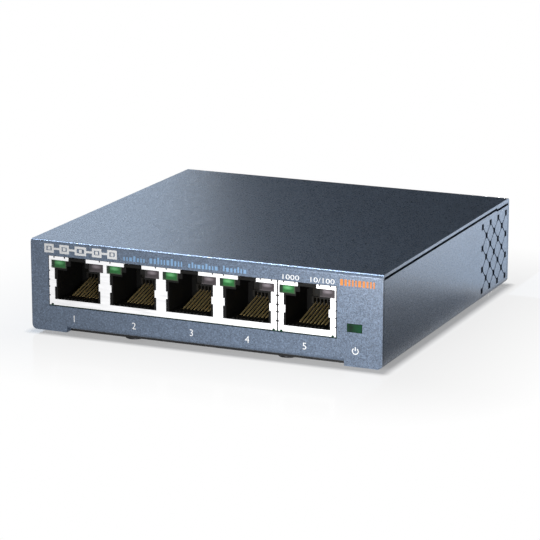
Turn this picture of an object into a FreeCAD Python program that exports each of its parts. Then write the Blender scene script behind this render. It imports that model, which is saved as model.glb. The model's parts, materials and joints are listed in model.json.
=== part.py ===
# Five-port desktop network switch in a folded steel case.
#
# Millimetres. +X is to the right seen from the front, +Y runs from the port panel to the rear, +Z is up.
# The origin is on the surface the feet stand on, under the middle of the case.
import FreeCAD, Part
import math
import os

from FreeCAD import Vector

# ------------------------------------------------------------------ driving dimensions: case
CASE_D = 98.0            # outer face of the front panel to outer face of the rear panel
SHEET = 0.8              # steel sheet of cover and tray
COVER_BEND_R = 1.0       # outside radius of the cover's bends
TRAY_BEND_R = 1.4        # outside radius of the tray's bends
LEFT_MARGIN = 5.4        # left side of the case to the four-port jack
RIGHT_MARGIN = 12.7      # one-port jack to the right side of the case
TOP_MARGIN = 4.1         # top of the jacks to the top of the case
SEAM_GAP = 0.2           # between cover and tray edges that meet
SIDE_TOP_GAP = 0.7       # under the cover plate, above the tray's side walls
REAR_LIP_H = 0.4         # short turned-down lip at the rear end of the cover's sides
REAR_LIP_L = 10.5
PANEL_END = 10.4         # width at each end where the panels reach down over the tray
FOOT_D = 8.0
FOOT_PROUD = 0.8
FOOT_INSET = 9.0         # foot centre from the case's sides, front and rear
FOOT_EDGE_R = 0.25
FLOOR_SET_BACK = 2.2     # tray floor behind the panels' outer faces, between their ends
FLANGE_L = 8.0           # flange bent in from each panel's lower edge, which takes the screws
FLANGE_HOLE_BACK = 4.5   # flange holes from the panel's inner face
COVER_SCREW_X = 22.0     # cover screws, left and right of the middle
KEYHOLE_X = 30.0         # wall-hanging keyholes, left and right of the middle
KEYHOLE_Y = 8.0
KEYHOLE_HEAD_R = 3.6
KEYHOLE_SLOT_W = 3.8
KEYHOLE_SLOT_L = 7.0

# ------------------------------------------------------------------ driving dimensions: side vents
VENT_HOLE = 1.65         # square hole
VENT_COLS = 7
VENT_COL_PITCH = 3.27
VENT_ROW_PITCH = 6.05
VENT_REAR = 2.8          # last column of holes from the rear face
VENT_LOW = 2.7           # lowest row above the case's bottom
VENT_TOP_LAND = 1.2      # least metal above the top row
GROOVE_W = 0.36          # stamped groove that joins neighbouring holes
GROOVE_DEEP = 0.25

# ------------------------------------------------------------------ driving dimensions: fasteners
SCREW_R = 1.45
SCREW_HOLE_GAP = 0.05    # screw in the threads of a flange or a standoff
SCREW_PASS_GAP = 0.15    # screw through the tray or the board
WAFER_HEAD_R = 2.6
WAFER_HEAD_H = 0.6
WAFER_SCREW_L = 4.0
PAN_HEAD_R = 2.7
PAN_HEAD_H = 1.9
PAN_SCREW_L = 5.0
RECESS_W = 0.55          # cross recess
RECESS_L = 2.6
RECESS_DEEP = 0.35
STANDOFF_H = 4.7
STANDOFF_FLATS = 5.2
STANDOFF_BORE_DEEP = 4.2

# ------------------------------------------------------------------ driving dimensions: board
BOARD_T = 1.6
BOARD_SIDE_GAP = 3.2     # board edge to the tray's side wall
BOARD_END_GAP = 0.5      # board edge to the panels
BOARD_HOLE_SIDE = 4.0    # board screws from the board's side edge
BOARD_HOLE_FRONT = 7.7   # front pair of board screws behind the transformers
BOARD_HOLE_REAR = 3.8    # rear pair in front of the rear flange
LEAD_THROUGH = 1.3       # leads stand this far out under the board
LEAD_HOLE_GAP = 0.15

# ------------------------------------------------------------------ driving dimensions: one port
PLUG_W = 11.7            # standard modular plug
PLUG_SIDE_GAP = 0.15
PLUG_CAVITY_H = 7.9
PLUG_DEPTH = 14.0        # cavity depth behind the jack's housing face
KEYWAY_W = 6.4           # way for the plug's latch, between the two lamps
LATCH_SLOT_W = 4.2       # way for the latch's thin end, between the two ledges that catch its shoulders
LATCH_LEDGE_RISE = 1.2   # ledges above the plug cavity
LATCH_LEDGE_L = 1.6
LED_W = 4.2
LED_H = 2.2
LED_L = 5.0
LED_WALL = 0.2           # plastic between the keyway and a lamp
LED_GAP = 0.05
SILL_H = 1.6             # shield strip under the port window
MAIN_WINDOW_H = 8.45
TOP_STRIP_H = 1.0
GANG_WINDOW_W = 13.5     # shield window of each port in the wide jack
SINGLE_WINDOW_W = 12.9   # the same on the one-port jack
SIDE_TAB = 0.45          # small inward tab half-way up each side of the window
SIDE_TAB_LOW = 3.4       # tab's lower edge above the window's lower edge
SIDE_TAB_H = 2.0
LATCH_NOTCH_W = 5.15     # gap in the top strip over the keyway
LATCH_NOTCH_DEEP = 1.6

# ------------------------------------------------------------------ driving dimensions: jacks
PORT_COUNT = 4           # ports in the wide jack; the last port has a jack of its own
SHIELD_WEB = 1.0         # metal between the lamp windows of neighbouring ports
GANG_EDGE = 0.7          # shield beside the outer lamp windows, wide jack
SINGLE_EDGE = 0.3        # the same on the one-port jack
JACK_GAP = 0.4
JACK_DEPTH = 20.65
JACK_SEAT_GAP = 0.15     # board to the bottom of the jacks
SHIELD_T = 0.25
SHIELD_FIT = 0.05        # shield to housing
PANEL_GAP_LOW = 0.35     # shield to the panel's window
PANEL_GAP_TOP = 0.1
PANEL_GAP_SIDE = 0.25
FINGER_W = 3.1           # spring fingers cut in the shield's top
SIDE_FINGER_W = 2.4
SIDE_FINGER_LOW = 2.55   # lowest side slot above the shield's lower edge
SIDE_FINGER_STEP = 4.3
FINGER_INSET = 3.05      # end fingers' centre from the shield's side
FINGER_SLOT = 0.35
FINGER_L = 5.0
CORNER_RELIEF_W = 0.7    # notch in the shield's lower edge near each side
CORNER_RELIEF_H = 0.4
CORNER_RELIEF_IN = 0.85  # its centre from the shield's side
SHIELD_LEG_W = 1.4
SHIELD_LEG_DEPTHS = (6.5, 14.5)
PEG_R = 1.25
PEG_OFFSET = 6.1         # peg from its port's centre
PEG_DEPTH = 11.0
PEG_HOLE_GAP = 0.1
LED_LEAD = 0.4
LED_LEAD_SPREAD = 1.0    # each lamp lead from its lamp's centre
LED_LEAD_REAR = 0.55     # lead's inner face from the shield's rear wall

# ------------------------------------------------------------------ driving dimensions: contacts
WIRE = 0.35              # square contact wire
WIRES = 8
WIRE_PITCH = 1.02
NOSE_R = 0.45            # round nose of the insert, which the contacts hook round
HOOK_FIT = 0.05
PIVOT_DEPTH = 4.5        # nose axis behind the jack's face
PIVOT_RISE = 1.2         # nose axis above the jack's lower face
ARM_RISE_DEG = 13.5
ARM_L = 10.9
HOOK_END_DEG = 250.0
TAIL_START = 0.3         # behind the nose axis
TAIL_ROWS = (15.6, 17.6) # board rows behind the jack's face
INSERT_W = 9.0
INSERT_GAP = 0.1
INSERT_WALL_DEPTH = 14.4
INSERT_END = 19.1
INSERT_PLATE_TOP = 0.15  # above the nose axis
INSERT_BAR_LOW = 4.4     # rear bar above the jack's lower face
INSERT_BAR_H = 1.7
INSERT_BAR_PROUD = 0.6
COMB_SLOT_W = 0.7
COMB_SLOT_DEEP = 2.4
COMB_SLOT_TOP = 5.9      # slot tops above the jack's lower face
TOOTH_W = 0.5
TOOTH_H = 0.35
TOOTH_FRONT = 0.2
SILL_L = 3.0             # housing sill under the cavity, front to back
CAVITY_STEP = 0.05       # cavity floor above the shield's window edge

# ------------------------------------------------------------------ driving dimensions: power lamp
LENS_W = 4.0
LENS_H = 2.1
LENS_GAP = 0.1
LENS_FROM_JACK = 5.1     # lens centre right of the one-port jack
LENS_RISE = 3.0          # lens centre above the board
LENS_FLANGE = 0.6
LENS_FLANGE_T = 0.8
LENS_L = 4.6
LAMP_HOLDER_L = 5.0
LAMP_HOLDER_WALL = 0.7
LAMP_L = 3.4
LAMP_R = 0.95
LAMP_LEAD = 0.45
LAMP_LEAD_SPREAD = 1.27

# ------------------------------------------------------------------ driving dimensions: power inlet
INLET_FROM_RIGHT = 20.0  # inlet axis from the case's right side
INLET_W = 9.0
INLET_H = 11.0
INLET_L = 14.0
INLET_AXIS_RISE = 6.5
INLET_PANEL_GAP = 0.3
INLET_COLLAR_R = 3.9
INLET_COLLAR_GAP = 0.2
INLET_BORE_R = 3.2
INLET_BORE_DEEP = 10.5
INLET_PIN_R = 1.0
INLET_PIN_BACK = 0.8     # pin's end behind the rear face
INLET_ROOT_R = 0.8       # thinner stretch of the pin inside the body's back wall
INLET_FIT = 0.03
INLET_LUG_T = 0.5
INLET_LUG_W = 2.4
LEAF_T = 0.3
LEAF_W = 2.2
LEAF_SLOT_GAP = 0.25
LEAF_BUMP = 0.45         # bump of the leaf into the bore
LEAF_L = 8.0

# ------------------------------------------------------------------ driving dimensions: other parts on the board
# each centre is x, then the distance behind the transformers (or in front of the rear face where it says so)
TRANSFORMER = (12.6, 8.2, 5.6)
TRANSFORMER_BEHIND_JACK = 3.4
TRANSFORMER_LEADS = 6
TRANSFORMER_LEAD = (0.5, 1.0, 0.3)
TRANSFORMER_LEAD_PITCH = 1.9
CHIP = (14.0, 14.0, 1.5)
CHIP_CENTRE = (-6.0, 13.8)
CHIP_LEADS = 12
CHIP_LEAD = (0.4, 1.0, 0.25)
CHIP_LEAD_PITCH = 1.0
PAD_T = 0.5
SINK_W = 13.0
SINK_BASE = 1.5
SINK_H = 7.0
SINK_FINS = 6
SINK_FIN_T = 0.9
CRYSTAL = (11.0, 4.6, 3.4)
CRYSTAL_CENTRE = (14.0, 7.8)
MEMORY = (5.0, 4.0, 1.6)
MEMORY_CENTRE = (14.0, 15.2)
REGULATOR = (6.6, 6.2, 2.2)
REGULATOR_CENTRES = ((26.5, 7.8), (26.5, 17.8))
INDUCTOR = (6.0, 6.0, 3.0)
INDUCTOR_CENTRES = ((36.0, 17.2), (17.0, 21.8))
CAN_R = 3.15
CAN_H = 7.7
CAN_BASE = 6.6
CAN_BASE_H = 1.0
CANS_FROM_REAR = ((18.0, 10.0), (18.0, 18.5), (9.0, 10.0))
DIODE = (5.0, 3.0, 2.1)
DIODE_FROM_REAR = (30.0, 19.0)
CERAMIC = (1.6, 0.8, 0.8)
CERAMICS_PER_SIDE = 6
CERAMIC_PITCH = 2.6
CERAMIC_FROM_CHIP = 2.6

# ------------------------------------------------------------------ worked-out sizes
CASE_Z0 = FOOT_PROUD
FLOOR_TOP = CASE_Z0 + SHEET
BOARD_Z0 = FLOOR_TOP + STANDOFF_H
BOARD_Z1 = BOARD_Z0 + BOARD_T
LEAD_END = BOARD_Z0 - LEAD_THROUGH
JACK_Z0 = BOARD_Z1 + JACK_SEAT_GAP
JACK_H = SILL_H + MAIN_WINDOW_H + LED_H + TOP_STRIP_H
JACK_Z1 = JACK_Z0 + JACK_H
CASE_Z1 = JACK_Z1 + TOP_MARGIN
PANEL_LOW = FLOOR_TOP + SEAM_GAP

LED_INNER = KEYWAY_W / 2 + LED_WALL          # lamp's inner side from the port's centre
LED_OUTER = LED_INNER + LED_W
LAMP_WINDOW = LED_OUTER + LED_GAP            # half width of the shield's upper window
LED_Z0 = JACK_Z0 + SILL_H + MAIN_WINDOW_H
LED_Z1 = LED_Z0 + LED_H
PORT_PITCH = 2 * LAMP_WINDOW + SHIELD_WEB
GANG_W = (PORT_COUNT - 1) * PORT_PITCH + 2 * (LAMP_WINDOW + GANG_EDGE)
SINGLE_W = 2 * (LAMP_WINDOW + SINGLE_EDGE)
CASE_W = LEFT_MARGIN + GANG_W + JACK_GAP + SINGLE_W + RIGHT_MARGIN
LEFT = -CASE_W / 2
RIGHT = CASE_W / 2
FRONT = -CASE_D / 2
REAR = CASE_D / 2
PANEL_IN_FRONT = FRONT + SHEET
PANEL_IN_REAR = REAR - SHEET
GANG_X0 = LEFT + LEFT_MARGIN
GANG_X1 = GANG_X0 + GANG_W
SINGLE_X0 = GANG_X1 + JACK_GAP
SINGLE_X1 = SINGLE_X0 + SINGLE_W
GANG_PORTS = [GANG_X0 + GANG_EDGE + LAMP_WINDOW + i * PORT_PITCH for i in range(PORT_COUNT)]
SINGLE_PORTS = [(SINGLE_X0 + SINGLE_X1) / 2]
PORTS = GANG_PORTS + SINGLE_PORTS

HOUSING_Y0 = FRONT + SHIELD_T + SHIELD_FIT
HOUSING_Z1 = JACK_Z1 - SHIELD_T - SHIELD_FIT
CAVITY_HALF = PLUG_W / 2 + PLUG_SIDE_GAP
CAVITY_Z0 = JACK_Z0 + SILL_H + CAVITY_STEP
CAVITY_Z1 = CAVITY_Z0 + PLUG_CAVITY_H
CAVITY_Y1 = HOUSING_Y0 + PLUG_DEPTH
SHIELD_REAR_IN = FRONT + JACK_DEPTH - SHIELD_T
LED_LEAD_Y = SHIELD_REAR_IN - LED_LEAD_REAR  # inner face of the lamp leads' drop
HOUSING_Y1 = LED_LEAD_Y - LED_LEAD - INSERT_GAP

PIVOT_Y = FRONT + PIVOT_DEPTH
PIVOT_Z = JACK_Z0 + PIVOT_RISE
HOOK_IN = NOSE_R + HOOK_FIT
HOOK_OUT = HOOK_IN + WIRE
WIRE_XS = [(i - (WIRES - 1) / 2) * WIRE_PITCH for i in range(WIRES)]

BOARD_X = CASE_W / 2 - SHEET - BOARD_SIDE_GAP
PARTS_Y0 = FRONT + JACK_DEPTH + TRANSFORMER_BEHIND_JACK + TRANSFORMER[1]
BOARD_Y0 = PANEL_IN_FRONT + BOARD_END_GAP
BOARD_Y1 = PANEL_IN_REAR - BOARD_END_GAP
BOARD_HOLES = [(side * (BOARD_X - BOARD_HOLE_SIDE), y)
               for side in (-1, 1)
               for y in (PARTS_Y0 + BOARD_HOLE_FRONT, PANEL_IN_REAR - FLANGE_L - BOARD_HOLE_REAR)]
FLANGE_X = CASE_W / 2 - PANEL_END
COVER_SCREW_YS = (PANEL_IN_FRONT + FLANGE_HOLE_BACK, PANEL_IN_REAR - FLANGE_HOLE_BACK)
COVER_SCREWS = [(side * COVER_SCREW_X, y) for side in (-1, 1) for y in COVER_SCREW_YS]

LENS_X = SINGLE_X1 + LENS_FROM_JACK
LENS_Z = BOARD_Z1 + LENS_RISE
HOLDER_Y0 = FRONT + LENS_L + LENS_GAP
INLET_X = RIGHT - INLET_FROM_RIGHT
INLET_Z = BOARD_Z1 + INLET_AXIS_RISE
INLET_Y1 = PANEL_IN_REAR - INLET_PANEL_GAP
INLET_Y0 = INLET_Y1 - INLET_L


# ------------------------------------------------------------------ helpers
def block(x0, x1, y0, y1, z0, z1):
    return Part.makeBox(x1 - x0, y1 - y0, z1 - z0, Vector(x0, y0, z0))


def centred(x, y, z0, size):
    return block(x - size[0] / 2, x + size[0] / 2, y - size[1] / 2, y + size[1] / 2, z0, z0 + size[2])


def rod_x(x0, x1, y, z, r):
    return Part.makeCylinder(r, x1 - x0, Vector(x0, y, z), Vector(1, 0, 0))


def rod_y(x, y0, y1, z, r):
    return Part.makeCylinder(r, y1 - y0, Vector(x, y0, z), Vector(0, 1, 0))


def rod_z(x, y, z0, z1, r):
    return Part.makeCylinder(r, z1 - z0, Vector(x, y, z0), Vector(0, 0, 1))


def prism(points, along):
    """Closed polygon swept along a vector."""
    return Part.Face(Part.makePolygon(points + points[:1])).extrude(along)


def cut_all(shape, tools):
    return shape.cut(tools) if tools else shape


def fuse_all(shapes):
    first = shapes[0]
    return first.multiFuse(shapes[1:]).removeSplitter() if len(shapes) > 1 else first


def write(name, solids):
    solids = solids if isinstance(solids, list) else [solids]
    flat = [solid for shape in solids for solid in shape.Solids]
    shape = flat[0] if len(flat) == 1 else Part.makeCompound(flat)
    shape.exportStep("parts/" + name + ".step")


def cross_recess(x, y, z0, z1):
    half = RECESS_L / 2
    thin = RECESS_W / 2
    return [block(x - half, x + half, y - thin, y + thin, z0, z1),
            block(x - thin, x + thin, y - half, y + half, z0, z1)]


def edges_along(shape, axis, keep):
    """Straight edges parallel to an axis whose middle passes the test keep."""
    found = []
    for edge in shape.Edges:
        if len(edge.Vertexes) != 2:
            continue
        run = edge.Vertexes[1].Point - edge.Vertexes[0].Point
        if run.Length > 0 and abs(abs(run.normalize().dot(axis)) - 1) < 1e-6 and keep(edge.CenterOfMass):
            found.append(edge)
    return found


# ------------------------------------------------------------------ top cover: plate, front panel and rear panel
def case_outline(depth_inset, bend, drop):
    """Section of the case seen from the side, with its two top corners rounded, swept over the width."""
    solid = block(LEFT, RIGHT, FRONT + depth_inset, REAR - depth_inset, CASE_Z0, CASE_Z1 - drop)
    top = edges_along(solid, Vector(1, 0, 0), lambda c: c.z > CASE_Z1 - drop - SHEET / 2)
    return solid.makeFillet(bend, top)


def panel_corner_trim():
    """Case section seen from the front, with the tray's bend radius at its two lower corners."""
    solid = block(LEFT, RIGHT, FRONT, REAR, CASE_Z0, CASE_Z1)
    low = edges_along(solid, Vector(0, 1, 0), lambda c: c.z < CASE_Z0 + SHEET / 2)
    return solid.makeFillet(TRAY_BEND_R, low)


def flange(front):
    """Flange bent in from a panel's lower edge; front is 1 for the front panel and -1 for the rear one."""
    floor = block(-FLANGE_X, FLANGE_X, FRONT, PANEL_IN_FRONT + FLANGE_L, PANEL_LOW, PANEL_LOW + SHEET)
    wall = block(-FLANGE_X, FLANGE_X, FRONT, PANEL_IN_FRONT, PANEL_LOW, PANEL_LOW + 3 * SHEET)
    solid = fuse_all([floor, wall])
    along = Vector(1, 0, 0)
    solid = solid.makeFillet(COVER_BEND_R, edges_along(
        solid, along, lambda c: c.z < PANEL_LOW + SHEET / 4 and c.y < FRONT + SHEET / 4))
    inside = edges_along(
        solid, along, lambda c: abs(c.z - PANEL_LOW - SHEET) < SHEET / 4 and c.y < FRONT + 2 * SHEET)
    solid = solid.makeFillet(COVER_BEND_R - SHEET, inside)
    corners = edges_along(solid, Vector(0, 0, 1), lambda c: c.y > FRONT + FLANGE_L)
    solid = solid.makeFillet(FLANGE_HOLE_BACK / 3, corners)
    holes = [rod_z(x, PANEL_IN_FRONT + FLANGE_HOLE_BACK, PANEL_LOW - SHEET, PANEL_LOW + 2 * SHEET,
                   SCREW_R + SCREW_HOLE_GAP) for x in (-COVER_SCREW_X, COVER_SCREW_X)]
    solid = cut_all(solid, holes)
    return solid if front > 0 else solid.mirror(Vector(0, 0, 0), Vector(0, 1, 0))


def top_cover():
    outer = case_outline(0, COVER_BEND_R, 0)
    inner = case_outline(SHEET, COVER_BEND_R - SHEET, SHEET)
    shell = outer.cut(inner).common(panel_corner_trim())
    relief = block(-FLANGE_X, FLANGE_X, FRONT - SHEET, REAR + SHEET, CASE_Z0 - SHEET, PANEL_LOW + COVER_BEND_R)
    jack_window = block(GANG_X0 - PANEL_GAP_SIDE, SINGLE_X1 + PANEL_GAP_SIDE, FRONT - SHEET, FRONT + 2 * SHEET,
                        JACK_Z0 - PANEL_GAP_LOW, JACK_Z1 + PANEL_GAP_TOP)
    lens_w = LENS_W / 2 + LENS_GAP
    lens_h = LENS_H / 2 + LENS_GAP
    lens_window = block(LENS_X - lens_w, LENS_X + lens_w, FRONT - SHEET, FRONT + 2 * SHEET,
                        LENS_Z - lens_h, LENS_Z + lens_h)
    inlet_hole = rod_y(INLET_X, REAR - 2 * SHEET, REAR + SHEET, INLET_Z, INLET_COLLAR_R + INLET_COLLAR_GAP)
    shell = cut_all(shell, [relief, jack_window, lens_window, inlet_hole])
    lips = [block(min(x, x - s * SHEET), max(x, x - s * SHEET), REAR - REAR_LIP_L, PANEL_IN_REAR,
                  CASE_Z1 - SHEET - REAR_LIP_H, CASE_Z1 - SHEET)
            for s, x in ((-1, LEFT), (1, RIGHT))]
    return fuse_all([shell, flange(1), flange(-1)] + lips)


# ------------------------------------------------------------------ base tray: floor and two side walls
def vent_cells():
    """Depth and height of each vent hole, in columns that alternate by half a row."""
    cells = []
    side_top = CASE_Z1 - SHEET - SIDE_TOP_GAP - VENT_TOP_LAND
    for col in range(VENT_COLS):
        z = CASE_Z0 + VENT_LOW + (col % 2) * VENT_ROW_PITCH / 2
        while z + VENT_HOLE / 2 <= side_top:
            cells.append((REAR - VENT_REAR - (VENT_COLS - 1 - col) * VENT_COL_PITCH, z, col % 2))
            z += VENT_ROW_PITCH
    return cells


def vent_cutters(side):
    """Square holes through one side wall, and the shallow diagonal grooves between them."""
    wall = side * CASE_W / 2
    half = VENT_HOLE / 2
    cells = vent_cells()
    holes = [block(wall - 2 * SHEET, wall + 2 * SHEET, y - half, y + half, z - half, z + half)
             for y, z, odd in cells]
    run = math.hypot(VENT_COL_PITCH, VENT_ROW_PITCH / 2)
    slope = math.degrees(math.atan2(VENT_ROW_PITCH / 2, VENT_COL_PITCH))
    grooves = []
    for y, z, odd in cells:
        if not odd:
            continue
        for turn in (slope, 180 - slope, 180 + slope, -slope):
            strip = block(wall - GROOVE_DEEP, wall + GROOVE_DEEP, y, y + run,
                          z - GROOVE_W / 2, z + GROOVE_W / 2)
            strip.rotate(Vector(wall, y, z), Vector(1, 0, 0), turn)
            grooves.append(strip)
    return holes + grooves


def keyhole(x):
    top = KEYHOLE_Y + KEYHOLE_SLOT_L
    half = KEYHOLE_SLOT_W / 2
    head = rod_z(x, KEYHOLE_Y, CASE_Z0 - SHEET, FLOOR_TOP + SHEET, KEYHOLE_HEAD_R)
    slot = block(x - half, x + half, KEYHOLE_Y, top, CASE_Z0 - SHEET, FLOOR_TOP + SHEET)
    end = rod_z(x, top, CASE_Z0 - SHEET, FLOOR_TOP + SHEET, half)
    return fuse_all([head, slot, end])


def base_tray():
    side_z1 = CASE_Z1 - SHEET - SIDE_TOP_GAP
    y0 = PANEL_IN_FRONT + SEAM_GAP
    y1 = PANEL_IN_REAR - SEAM_GAP
    outer = block(LEFT, RIGHT, y0, y1, CASE_Z0, side_z1)
    outer = outer.makeFillet(TRAY_BEND_R, edges_along(
        outer, Vector(0, 1, 0), lambda c: c.z < CASE_Z0 + SHEET / 2))
    inner = block(LEFT + SHEET, RIGHT - SHEET, y0 - SHEET, y1 + SHEET, FLOOR_TOP, side_z1 + SHEET)
    inner = inner.makeFillet(TRAY_BEND_R - SHEET, edges_along(
        inner, Vector(0, 1, 0), lambda c: c.z < FLOOR_TOP + SHEET / 2))
    bites = [block(-FLANGE_X, FLANGE_X, edge - FLOOR_SET_BACK, edge + FLOOR_SET_BACK, CASE_Z0 - SHEET,
                   FLOOR_TOP + SHEET) for edge in (FRONT, REAR)]
    tray = outer.cut(inner)
    step = block(LEFT - SHEET, RIGHT + SHEET, REAR - REAR_LIP_L - SEAM_GAP, REAR, side_z1 - REAR_LIP_H,
                 CASE_Z1)
    holes = [rod_z(x, y, CASE_Z0 - SHEET, FLOOR_TOP + SHEET, SCREW_R + SCREW_PASS_GAP)
             for x, y in COVER_SCREWS]
    return cut_all(tray, [step, keyhole(-KEYHOLE_X), keyhole(KEYHOLE_X)] + bites + holes
                   + vent_cutters(-1) + vent_cutters(1))


def foot(x, y):
    pad = rod_z(x, y, 0, FOOT_PROUD, FOOT_D / 2)
    low = [edge for edge in pad.Edges if edge.CenterOfMass.z < FOOT_EDGE_R and len(edge.Vertexes) == 1]
    return pad.makeFillet(FOOT_EDGE_R, low)


# ------------------------------------------------------------------ fasteners
def cover_screw(x, y):
    head = rod_z(x, y, CASE_Z0 - WAFER_HEAD_H, CASE_Z0, WAFER_HEAD_R)
    shank = rod_z(x, y, CASE_Z0, CASE_Z0 + WAFER_SCREW_L, SCREW_R)
    screw = fuse_all([head, shank])
    return cut_all(screw, cross_recess(x, y, CASE_Z0 - WAFER_HEAD_H, CASE_Z0 - WAFER_HEAD_H + RECESS_DEEP))


def board_screw(x, y):
    head = rod_z(x, y, BOARD_Z1, BOARD_Z1 + PAN_HEAD_H, PAN_HEAD_R)
    rim = [edge for edge in head.Edges if edge.CenterOfMass.z > BOARD_Z1 + PAN_HEAD_H / 2
           and len(edge.Vertexes) == 1]
    head = head.makeFillet(PAN_HEAD_H / 2, rim)
    shank = rod_z(x, y, BOARD_Z1 - PAN_SCREW_L, BOARD_Z1, SCREW_R)
    top = BOARD_Z1 + PAN_HEAD_H
    return cut_all(fuse_all([head, shank]), cross_recess(x, y, top - 2 * RECESS_DEEP, top))


def standoff(x, y):
    corner = STANDOFF_FLATS / 2 / math.cos(math.pi / 6)
    ring = [Vector(x + corner * math.cos(i * math.pi / 3), y + corner * math.sin(i * math.pi / 3), FLOOR_TOP)
            for i in range(6)]
    post = prism(ring, Vector(0, 0, STANDOFF_H))
    return post.cut(rod_z(x, y, BOARD_Z0 - STANDOFF_BORE_DEEP, BOARD_Z0 + SHEET, SCREW_R + SCREW_HOLE_GAP))


# ------------------------------------------------------------------ jack shields
def port_window(cx, width):
    """Opening of one port in the shield's front face."""
    half = width / 2
    z0 = JACK_Z0 + SILL_H
    y0 = FRONT - SHIELD_T
    y1 = FRONT + 2 * SHIELD_T
    tab_z0 = z0 + SIDE_TAB_LOW
    lower = block(cx - half, cx + half, y0, y1, z0, LED_Z0)
    tabs = [block(cx + s * half - SIDE_TAB, cx + s * half + SIDE_TAB, y0, y1, tab_z0, tab_z0 + SIDE_TAB_H)
            for s in (-1, 1)]
    upper = block(cx - LAMP_WINDOW, cx + LAMP_WINDOW, y0, y1, LED_Z0, LED_Z1)
    notch = block(cx - LATCH_NOTCH_W / 2, cx + LATCH_NOTCH_W / 2, y0, FRONT + LATCH_NOTCH_DEEP,
                  LED_Z1, JACK_Z1 + SHIELD_T)
    return [lower.cut(tabs), upper, notch]


def finger_slots(x0, x1, centres):
    """Slots that free the spring fingers in the shield's top and sides."""
    slots = []
    for x in centres:
        for s in (-1, 1):
            edge = x + s * FINGER_W / 2
            slots.append(block(edge - FINGER_SLOT / 2, edge + FINGER_SLOT / 2, FRONT - SHIELD_T,
                               FRONT + FINGER_L, JACK_Z1 - SHIELD_T - FINGER_SLOT / 2, JACK_Z1 + SHIELD_T))
    for wall in (x0, x1):
        for low in (SIDE_FINGER_LOW, SIDE_FINGER_LOW + SIDE_FINGER_STEP):
            for z in (JACK_Z0 + low, JACK_Z0 + low + SIDE_FINGER_W):
                slots.append(block(wall - SHIELD_T, wall + SHIELD_T, FRONT - SHIELD_T, FRONT + FINGER_L,
                                   z - FINGER_SLOT / 2, z + FINGER_SLOT / 2))
    return slots


def leg_boxes(x0, x1, z_low, z_high, gap):
    """Solder legs of a shield, or with a gap their slots in the board."""
    boxes = []
    for wall in (x0, x1 - SHIELD_T):
        for depth in SHIELD_LEG_DEPTHS:
            y = FRONT + depth
            boxes.append(block(wall - gap, wall + SHIELD_T + gap, y - SHIELD_LEG_W / 2 - gap,
                               y + SHIELD_LEG_W / 2 + gap, z_low, z_high))
    return boxes


def jack_shield(x0, x1, ports, window_w):
    y1 = FRONT + JACK_DEPTH
    outer = block(x0, x1, FRONT, y1, JACK_Z0, JACK_Z1)
    inner = block(x0 + SHIELD_T, x1 - SHIELD_T, FRONT + SHIELD_T, SHIELD_REAR_IN,
                  JACK_Z0 - SHIELD_T, JACK_Z1 - SHIELD_T)
    webs = [(a + b) / 2 for a, b in zip(ports, ports[1:])]
    fingers = [x0 + FINGER_INSET] + webs + [x1 - FINGER_INSET]
    corners = [block(x - CORNER_RELIEF_W / 2, x + CORNER_RELIEF_W / 2, FRONT - SHIELD_T, FRONT + 2 * SHIELD_T,
                     JACK_Z0 - SHIELD_T, JACK_Z0 + CORNER_RELIEF_H)
               for x in (x0 + CORNER_RELIEF_IN, x1 - CORNER_RELIEF_IN)]
    windows = [tool for cx in ports for tool in port_window(cx, window_w)]
    shell = outer.cut(inner)
    shell = cut_all(shell, windows + finger_slots(x0, x1, fingers) + corners)
    return fuse_all([shell] + leg_boxes(x0, x1, LEAD_END, JACK_Z0 + SHIELD_T, 0))


# ------------------------------------------------------------------ jack housings
def port_cutters(cx):
    """Everything that one port takes out of its housing."""
    insert_half = INSERT_W / 2 + INSERT_GAP
    far = FRONT + JACK_DEPTH
    cavity = block(cx - CAVITY_HALF, cx + CAVITY_HALF, FRONT, CAVITY_Y1, CAVITY_Z0, CAVITY_Z1)
    keyway = block(cx - KEYWAY_W / 2, cx + KEYWAY_W / 2, FRONT, CAVITY_Y1, CAVITY_Z1 - SHEET, LED_Z1)
    bay = block(cx - insert_half, cx + insert_half, HOUSING_Y0 + SILL_L, far, JACK_Z0 - SHEET, CAVITY_Z1)
    lamps = [block(min(cx + s * (LED_INNER - LED_GAP), cx + s * LAMP_WINDOW),
                   max(cx + s * (LED_INNER - LED_GAP), cx + s * LAMP_WINDOW),
                   FRONT, far, LED_Z0 - LED_GAP, LED_Z1 + LED_GAP)
             for s in (-1, 1)]
    return [cavity, keyway, bay] + lamps


def latch_ledges(cx):
    """Two ledges at the front of the keyway, which the shoulders of a plug's latch catch behind."""
    inner = LATCH_SLOT_W / 2
    outer = LED_INNER - LED_GAP
    return [block(cx + x0, cx + x1, HOUSING_Y0, HOUSING_Y0 + LATCH_LEDGE_L, CAVITY_Z1 + LATCH_LEDGE_RISE,
                  HOUSING_Z1) for x0, x1 in ((-outer, -inner), (inner, outer))]


def comb_teeth(cx):
    """Low teeth on the sill, one each side of every contact."""
    y0 = HOUSING_Y0 + TOOTH_FRONT
    y1 = HOUSING_Y0 + SILL_L
    xs = [cx + (i - WIRES / 2) * WIRE_PITCH for i in range(WIRES + 1)]
    return [block(x - TOOTH_W / 2, x + TOOTH_W / 2, y0, y1, CAVITY_Z0 - TOOTH_H, CAVITY_Z0 + TOOTH_H)
            for x in xs]


def peg_places(ports):
    return [ports[0] - PEG_OFFSET, ports[-1] + PEG_OFFSET]


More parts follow.
